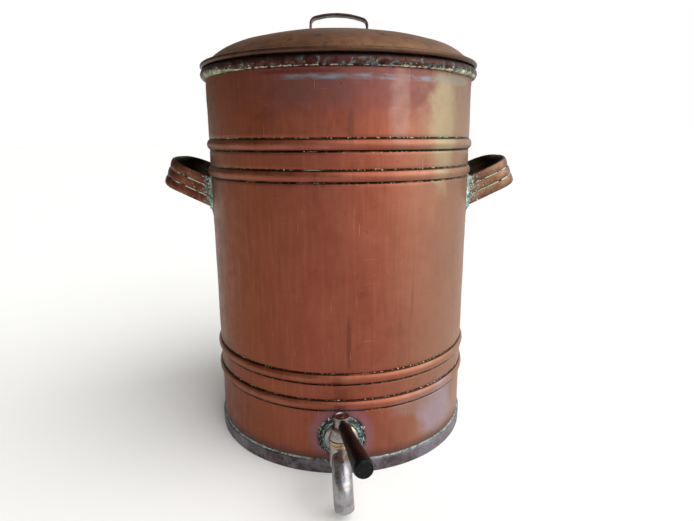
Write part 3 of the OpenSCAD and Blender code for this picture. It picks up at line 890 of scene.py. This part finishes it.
def strap_handle(side):
    """Ribbed strap bent into a loop, with both ends on the wall and its distances stored for the finish."""
    outline = strap_outline()
    bm = bmesh.new()
    rings = []
    tags = []
    for spot, out, share in loop_stations():
        ring = []
        if share is None:
            from_wall = max(0.0, hypot(spot.x, spot.y) - BODY_R)
        else:
            from_wall = share * (LOOP_BEND_X - BODY_R + 8)
        for t, w in outline:
            tags.append((w, 1.0 if t < 0.5 else 0.0, from_wall))
            point = LOOP_PLACE @ (spot + out * t + Vector((0, 0, w)))
            if share is not None:
                point = to_wall(point, LOOP_ALONG, BODY_R - 0.5).lerp(point, share)
            ring.append(bm.verts.new(mirrored(point, side)))
        rings.append(ring)
    strip(bm, rings)
    handle = finish_mesh(bm, "strap_handle_" + hand(side), HANDLE, sharp=50)
    for index, tag in enumerate(("across", "inner", "from_wall")):
        layer = handle.data.attributes.new(tag, "FLOAT", "POINT")
        layer.data.foreach_set("value", [row[index] for row in tags])

    def free(co):
        """No movement at the wall, full movement along the arms and a little less at the bend."""
        reach = hypot(co.x, co.y)
        return min(1.0, max(0.0, (reach - 0.158) / 0.02)) * (1.0 if reach < 0.2 else 0.6)

    rumple(handle, 0.35, 22, 30 + side, free)
    stand_for(handle, "urn", "handle_" + hand(side))


def strap_crumbs(side, arm, rnd):
    """Places for crumbs along the strap near the wall, and down the wall under it."""
    spots = []
    face = (LOOP_PLACE.to_3x3() @ Vector((0, arm, 0))).normalized()
    for _ in range(170):
        across = rnd.uniform(-15, 15)
        root = to_wall(LOOP_PLACE @ Vector((BODY_R, arm * (LOOP_HALF + 3.0), across)), LOOP_ALONG, BODY_R)
        spot = root + LOOP_ALONG * rnd.expovariate(1 / 5.0)
        spots.append((mirrored(spot, side), mirrored(face, side), rnd.uniform(0.3, 0.9)))
    middle = to_wall(LOOP_PLACE @ Vector((BODY_R, arm * LOOP_HALF, 0)), LOOP_ALONG, BODY_R)
    azimuth = degrees(atan2(middle.x, -middle.y))
    for _ in range(90):
        spread = rnd.gauss(0, 2.2)
        spot = on_drum(azimuth + spread, middle.z + rnd.uniform(-34, 14), BODY_R + 0.1)
        spots.append((mirrored(spot, side), (spot.x * side, spot.y, 0), rnd.uniform(0.3, 0.8)))
    return spots


def solder_ring(point, away, wide, high):
    """Section of the fillet: from under the strap, over its crest, out to the wall and back inside it."""
    normal = Vector((point.x, point.y, 0)).normalized()
    steps = 9
    tuck = 1.2
    ring = []
    for j in range(steps + 1):
        reach = -tuck + (wide + tuck) * (0.5 - 0.5 * cos(pi * j / steps))
        rise = high * (1 - j / steps) ** 1.6 * (1.0 if j else 0.9) - (0.5 if j == steps else 0.0)
        ring.append(to_wall(point + away * reach, normal, BODY_R) + normal * rise)
    ring.append(to_wall(point + away * wide * 0.8, normal, BODY_R - 0.7))
    ring.append(to_wall(point - away * 1.0, normal, BODY_R - 0.7))
    return ring


def solder_fillets(side):
    """Lumpy solder all round the two arms of one handle, where they meet the wall, and crumbs round it."""
    steps = 72
    bm = bmesh.new()
    rnd = random.Random(40 + side)
    spots = []
    for arm in (-1, 1):
        middle = to_wall(LOOP_PLACE @ Vector((BODY_R, arm * (LOOP_HALF + 1.6), 0)), LOOP_ALONG, BODY_R)
        rings = []
        for k in range(steps):
            a = 2 * pi * k / steps
            around = Vector((0, arm * (1.6 + 2.1 * cos(a)), 17.0 * sin(a)))
            point = to_wall(LOOP_PLACE @ (Vector((BODY_R, arm * LOOP_HALF, 0)) + around), LOOP_ALONG, BODY_R)
            away = (point - middle).normalized()
            normal = Vector((point.x, point.y, 0)).normalized()
            lump = 1 + 0.9 * noise.noise(Vector((k * 0.31, arm * 5.0, side * 9.0)))
            wide = 3.6 * lump * (1.5 if away.z < -0.5 else 1.0)
            section = solder_ring(point, away, wide, 3.2 * lump)
            rings.append([bm.verts.new(mirrored(p, side)) for p in section])
            for _ in range(3):
                spot = to_wall(point + away * rnd.uniform(0.5, wide + 2.5), normal, BODY_R + 0.2)
                spots.append((mirrored(spot, side), mirrored(normal, side), rnd.uniform(0.4, 1.1)))
        stitch(bm, rings, path_closed=True)
        spots += strap_crumbs(side, arm, rnd)
    fillet = finish_mesh(bm, "solder_fillets_" + hand(side), SOLDER, sharp=80)
    rumple(fillet, 0.9, 4, 50 + side)
    stand_for(fillet, "urn", "solder_" + hand(side))
    extra(crumbs("solder_crumbs_" + hand(side), SOLDER, spots, 60 + side), "urn")


# ---------------- lid

def lid_height(radius, depth=0.0):
    """Height of the dome at a distance from its axis, or of a surface the given depth under it."""
    drop = CROWN_TOP - (BRIM_TOP - sqrt(SHOULDER_R ** 2 - (BODY_R - SHOULDER_X) ** 2)) - SHOULDER_R
    crown_r = SHOULDER_R + (SHOULDER_X ** 2 + drop ** 2) / (2 * drop)
    crown_z = CROWN_TOP - crown_r
    shoulder_z = CROWN_TOP - drop - SHOULDER_R
    meet = SHOULDER_X / (shoulder_z - crown_z)
    if radius <= (crown_r - depth) * sin(atan(meet)):
        return crown_z + sqrt((crown_r - depth) ** 2 - radius ** 2)
    return shoulder_z + sqrt(max(0.0, (SHOULDER_R - depth) ** 2 - (radius - SHOULDER_X) ** 2))


def dome_line(reach, steps, depth=0.0):
    """Points of the dome from its axis out to a radius, closer together towards the edge."""
    radii = [reach * sin(pi / 2 * i / steps) for i in range(steps + 1)]
    return [(r, lid_height(r, depth)) for r in radii]


def lid():
    """Domed sheet with its edge rolled round the wire, tinned inside."""
    inner_r = BODY_R - 1.4
    roll = arc(LID_ROLL_X, BRIM_Z, LID_ROLL_R, 167, -160, 26)
    under = dome_line(inner_r, 40, SHEET)
    profile = dome_line(BODY_R, 60) + roll + [(inner_r, BRIM_Z - SHEET / 2)] + under[::-1]
    dome = lathe("lid_sheet", LID, profile, segments=288, sharp=60)
    mark_inside(dome, lambda co, n: 1.0 if hypot(co.x, co.y) > (BODY_R - 3) * MM else n[2])
    rumple(dome, 0.7, 38, 71, lambda co: 1.0 if hypot(co.x, co.y) < 0.14 else 0.15)
    rumple(dome, 0.18, 9, 72, lambda co: 1.0 if hypot(co.x, co.y) < 0.146 else 0.1)
    stand_for(dome, "lid", "lid_dome")


def tilted(angle, height):
    """A turn by an angle in degrees about the direction Y, through the axis Z at the given height."""
    back = Matrix.Translation((0, 0, -height))
    return Matrix.Translation((0, 0, height)) @ Matrix.Rotation(radians(angle), 4, "Y") @ back


def lid_strap_line():
    """Middle line of the lid's strap, as (x, z): an arch with rounded corners, legs, and feet on the dome."""
    half, thick = LID_STRAP_HALF, LID_STRAP_THICK
    arch_r, corner_r, ankle_r = 95.0, 8.0, 3.0
    arch_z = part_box("lid_handle")[1].z / MM - arch_r
    corner_x = half - corner_r
    corner_z = arch_z + sqrt((arch_r - corner_r) ** 2 - corner_x ** 2)
    tangent = degrees(atan2(corner_z - arch_z, corner_x))
    right = arc(0, arch_z, arch_r - thick / 2, 90, tangent, 8)
    right += arc(corner_x, corner_z, corner_r - thick / 2, tangent, 0, 8)[1:]
    foot_z = lid_height(half) + thick / 2
    leg_x = half - thick / 2
    right += [(leg_x, corner_z + (foot_z + ankle_r - corner_z) * share) for share in (0.5, 1.0)]
    right += arc(leg_x + ankle_r, foot_z + ankle_r, ankle_r, 180, 262, 5)[1:]
    right += [(x, lid_height(x) + thick / 2) for x in (half + 5, half + 9, half + 13)]
    return [(-x, z) for x, z in right[:0:-1]] + right


def lid_strap():
    """Bent strap handle of the lid with rounded edges, leaning a little, its two feet flat on the dome."""
    line = lid_strap_line()
    half_w, half_t = 7.5, LID_STRAP_THICK / 2
    section = rounded([(-half_w, -half_t), (half_w, -half_t), (half_w, half_t), (-half_w, half_t)], 0.9, 4)
    lean = tilted(2, CROWN_TOP)
    bm = bmesh.new()
    rings = []
    for i, (x, z) in enumerate(line):
        ahead = Vector(line[min(i + 1, len(line) - 1)]) - Vector(line[max(i - 1, 0)])
        across = Vector((-ahead.y, 0, ahead.x)).normalized()
        narrow = 0.86 if i in (0, len(line) - 1) else 1.0
        place = lean if z > CROWN_TOP + 1 else Matrix.Identity(4)
        ring = [Vector((x, 0, z)) + Vector((0, w * narrow, 0)) + across * t for w, t in section]
        rings.append([bm.verts.new(place @ corner) for corner in ring])
    strip(bm, rings)
    strap = finish_mesh(bm, "lid_strap", DARK, sharp=50)
    rumple(strap, 0.2, 9, 80)
    stand_for(strap, "lid", "lid_handle")


# ---------------- tap

ALONG_INLET = Matrix.Translation((0, 0, INLET_Z)) @ Matrix.Rotation(radians(90), 4, "X")
PLUG_PLACE = Matrix.Translation((0, PLUG_Y, 0))
LEVER_PLACE = (
    Matrix.Translation((0, PLUG_Y, LEVER_Z))
    @ Matrix.Rotation(radians(LEVER_TURN - 90), 4, "Z")
    @ Matrix.Rotation(radians(90 - LEVER_RISE), 4, "Y")
)


def bake_modifiers(piece):
    """Replaces the mesh with its modified shape."""
    depsgraph = bpy.context.evaluated_depsgraph_get()
    shaped = bpy.data.meshes.new_from_object(piece.evaluated_get(depsgraph))
    piece.modifiers.clear()
    piece.data = shaped
    shaped.shade_smooth()


def tap_casting():
    """Tail, flange, inlet and barrel as one casting with soft inside corners."""
    bm = bmesh.new()
    flange = [
        (5.5, 132), (8.5, 132), (8.5, 152), (17.5, 152.5), (17.5, 154.4, 0.9), (15.6, 155.9, 0.9),
        (10.5, 156.0, 1.4), (9.5, 158.5, 1.5), (9.5, 170.6), (5.5, 170.6),
    ]
    turn(bm, rounded(flange, 0.3, 4), 128, ALONG_INLET)
    barrel = [
        (7.2, 26), (9.5, 26), (12, 32, 3), (12, 53.4), (12.6, 53.7), (12.6, 55.6), (12, 55.9), (12, 57.6),
        (12.6, 57.9), (12.6, 60), (8.6, 60),
    ]
    turn(bm, rounded(barrel, 0.35, 4), 128, PLUG_PLACE)
    casting = finish_mesh(bm, "tap_casting", NICKEL)
    remesh = casting.modifiers.new("blend", "REMESH")
    remesh.mode = "VOXEL"
    remesh.voxel_size = 0.42 * MM
    remesh.use_smooth_shade = True
    soften = casting.modifiers.new("soften", "SMOOTH")
    soften.factor = 0.5
    soften.iterations = 3
    bake_modifiers(casting)
    stand_for(casting, "urn", "tap_body")


def spout():
    """Bent tube with a rounded lip, swept from the barrel to the mouth."""
    wall, lip, mouth_z = 1.6, 0.55, 9.0
    bend_steps, drop_steps, turn_steps = 24, 6, 72
    bend_y = PLUG_Y - 15
    bend_z = INLET_Z - SPOUT_BEND
    path = [(Vector((0, PLUG_Y - 9.2, INLET_Z)), 0.0), (Vector((0, bend_y, INLET_Z)), 0.0)]
    for step in range(1, bend_steps + 1):
        a = radians(90 * step / bend_steps)
        path.append((Vector((0, bend_y - SPOUT_BEND * sin(a), bend_z + SPOUT_BEND * cos(a))), a))
    for step in range(1, drop_steps + 1):
        z = bend_z + (mouth_z - bend_z) * step / drop_steps
        path.append((Vector((0, bend_y - SPOUT_BEND, z)), pi / 2))
    bm = bmesh.new()
    lean = tilted(-SPOUT_LEAN, INLET_Z)

    def ring(spot, angle, radius):
        up = Vector((0, -sin(angle), cos(angle)))
        turns = [2 * pi * i / turn_steps for i in range(turn_steps)]
        corners = [spot + Vector((radius * cos(t), 0, 0)) + up * radius * sin(t) for t in turns]
        return [bm.verts.new(lean @ corner) for corner in corners]

    rings = [ring(spot, angle, SPOUT_R) for spot, angle in path[:-1]]
    mouth = path[-1][0]
    for x, z in arc(SPOUT_R - lip, 0, lip, 0, -90, 4) + arc(SPOUT_R - wall + lip, 0, lip, -90, -180, 4):
        rings.append(ring(mouth + Vector((0, 0, lip + z)), pi / 2, x))
    rings += [ring(spot, angle, SPOUT_R - wall) for spot, angle in path[-2::-1]]
    stitch(bm, rings, path_closed=True)
    tube = finish_mesh(bm, "spout_tube", NICKEL, sharp=60)
    rumple(tube, 0.10, 14, 90)
    stand_for(tube, "urn", "tap_spout")


def plug_head():
    """Plug with its bell, neck and cap, turned in one piece with the stem below, and the screw in the cap."""
    bell = [
        (0, 17.0), (4, 17.0, 0.4), (4, 25.6), (6.6, 26.0), (8.3, 59.8), (8.3, 60.3), (11.9, 60.3, 0.4),
        (11.9, 61.9, 0.5), (10.4, 68.0, 1.2), (9.6, 71.0, 2.0), (6.7, 72.4, 1.4), (6.7, 78.4, 1.0),
        (8.0, 81.8, 0.6), (8.0, 83.0, 0.5), (6.4, 83.0, 0.4), (5.6, 82.2, 0.4), (0, 82.0),
    ]
    head = lathe("plug_head", NICKEL, rounded(bell, 0.3, 5, closed=False), 96, PLUG_PLACE, sharp=55)
    stand_for(head, "tap_lever", "tap_plug")
    screw_r = 2.6
    outline = rounded([(0, 79), (screw_r, 79), (screw_r, 82.5, 0.5), (0, 82.7)], 0.3, 4, closed=False)
    screw = lathe("cap_screw", STEEL, outline, 48, PLUG_PLACE)
    stand_for(screw, "tap_lever", "lever_screw")


def lever():
    """Black grip, thicker towards its far end, with softly rounded edges."""
    start, length, root, end = 8.0, 80.0, 5.1, 9.0
    outline = [
        (0, start), (root - 1, start, 0.3), (root, start + 1.2, 0.5), (end - 0.1, start + length - 3, 1.5),
        (end - 1.1, start + length, 1.4), (0, start + length),
    ]
    profile = refined(rounded(outline, 0.4, 5, closed=False), 3.0)
    profile = [p for i, p in enumerate(profile) if p[0] > 1e-4 or i == 0] + [(0, start + length)]
    grip = lathe("grip", BLACK, profile, 96, LEVER_PLACE, sharp=50)
    rumple(grip, 0.12, 12, 95)
    stand_for(grip, "tap_lever", "lever_grip")


def washer():
    """Outer washer of the tap, shaped to the drum, with crumbs of verdigris at its edges."""
    seat = 2.45
    steps = 120
    bm = bmesh.new()
    rings = []
    for radius, level in ((17, -0.6), (22.2, -0.6), (22.6, 0.4), (21.6, 1.6), (19.5, 2.2), (17, seat)):
        ring = []
        for i in range(steps):
            a = 2 * pi * i / steps
            x, z = radius * cos(a), radius * sin(a)
            wobble = 1 + 0.02 * noise.noise(Vector((2 * cos(a), 2 * sin(a), 4.0)))
            out = BODY_R + seat if level == seat else sqrt(BODY_R ** 2 - x * x) + level
            ring.append(bm.verts.new((x * wobble, -out, INLET_Z + z * wobble)))
        rings.append(ring)
    stitch(bm, rings, path_closed=True)
    stand_for(finish_mesh(bm, "flange_washer", LEATHER, sharp=60), "urn", "tap_washer_outer")
    rnd = random.Random(101)
    spots = []
    for _ in range(620):
        a = rnd.uniform(0, 2 * pi)
        reach = rnd.choice((rnd.gauss(18.4, 0.5), rnd.gauss(22.8, 0.9), rnd.uniform(18, 23)))
        x, z = reach * cos(a), reach * sin(a)
        level = 2.4 if reach < 21 else 0.3
        centre = (x, -sqrt(BODY_R ** 2 - x * x) - level, INLET_Z + z)
        spots.append((centre, (x / BODY_R, -1, 0), rnd.uniform(0.25, 0.75)))
    extra(crumbs("flange_crumbs", PALE_CRUST, spots, 102), "urn")


# ---------------- camera and light

def camera():
    """Camera at the height and distance of the photograph, looking slightly down."""
    eye = (0.0, -0.63586, 0.343)
    down, aside, roll = 0.2290, 0.0132, -0.0044
    forward = Vector((sin(aside) * cos(down), cos(aside) * cos(down), -sin(down)))
    level = Vector((cos(aside), -sin(aside), 0))
    upright = level.cross(forward)
    right = cos(roll) * level + sin(roll) * upright
    up = -sin(roll) * level + cos(roll) * upright
    data = bpy.data.cameras.new("camera")
    data.sensor_width = 36.0
    data.lens = 27.03
    view = bpy.data.objects.new("camera", data)
    view.matrix_world = Matrix.Translation(eye) @ Matrix((right, up, -forward)).transposed().to_4x4()
    bpy.context.scene.collection.objects.link(view)
    bpy.context.scene.camera = view


def room_glow(nodes, links):
    """What the metal mirrors: a dim room on the left, growing pale and bright towards the right."""
    split = nodes.new("ShaderNodeSeparateXYZ")
    links.new(nodes.new("ShaderNodeTexCoord").outputs["Generated"], split.inputs[0])
    share = nodes.new("ShaderNodeMapRange")
    share.inputs["From Min"].default_value = -1.0
    links.new(split.outputs[0], share.inputs[0])
    ramp = nodes.new("ShaderNodeValToRGB")
    fill_ramp(ramp, [(0.0, (0.16, 0.14, 0.105, 1)), (0.42, (0.27, 0.26, 0.25, 1)),
                     (0.68, (0.62, 0.62, 0.60, 1)), (1.0, (1.30, 1.32, 1.25, 1))])
    links.new(share.outputs[0], ramp.inputs[0])
    return ramp.outputs[0]


def lights():
    """A wide soft sun high on the right, the glow of the room, and a surround that the camera sees white."""
    sun_data = bpy.data.lights.new("key", "SUN")
    sun_data.energy = 3.1
    sun_data.angle = radians(82)
    sun = bpy.data.objects.new("key", sun_data)
    sun.rotation_euler = Vector((1.0, -0.75, 1.05)).to_track_quat("Z", "Y").to_euler()
    bpy.context.scene.collection.objects.link(sun)
    world = bpy.data.worlds.new("surround")
    world.use_nodes = True
    nodes, links = world.node_tree.nodes, world.node_tree.links
    seen = nodes.new("ShaderNodeLightPath")
    shade = nodes.new("ShaderNodeMix")
    shade.data_type = "RGBA"
    links.new(room_glow(nodes, links), shade.inputs[6])
    shade.inputs[7].default_value = (1, 1, 1, 1)
    links.new(seen.outputs["Is Camera Ray"], shade.inputs[0])
    links.new(shade.outputs[2], nodes["Background"].inputs["Color"])
    bpy.context.scene.world = world
    settings = bpy.context.scene.view_settings
    settings.view_transform = "Standard"
    settings.look = "None"


def floor():
    """White floor, wide enough to reach the horizon, just under the urn."""
    bm = bmesh.new()
    bmesh.ops.create_circle(bm, cap_ends=True, segments=96, radius=30 / MM)
    surface = finish_mesh(bm, "floor", floor_paper())
    surface.location.z = -0.05 * MM


camera()
drum()
foot()
rim_scale()
bead_scale()
for handle_side in (-1, 1):
    strap_handle(handle_side)
    solder_fillets(handle_side)
lid()
lid_strap()
tap_casting()
spout()
plug_head()
lever()
washer()
floor()
lights()
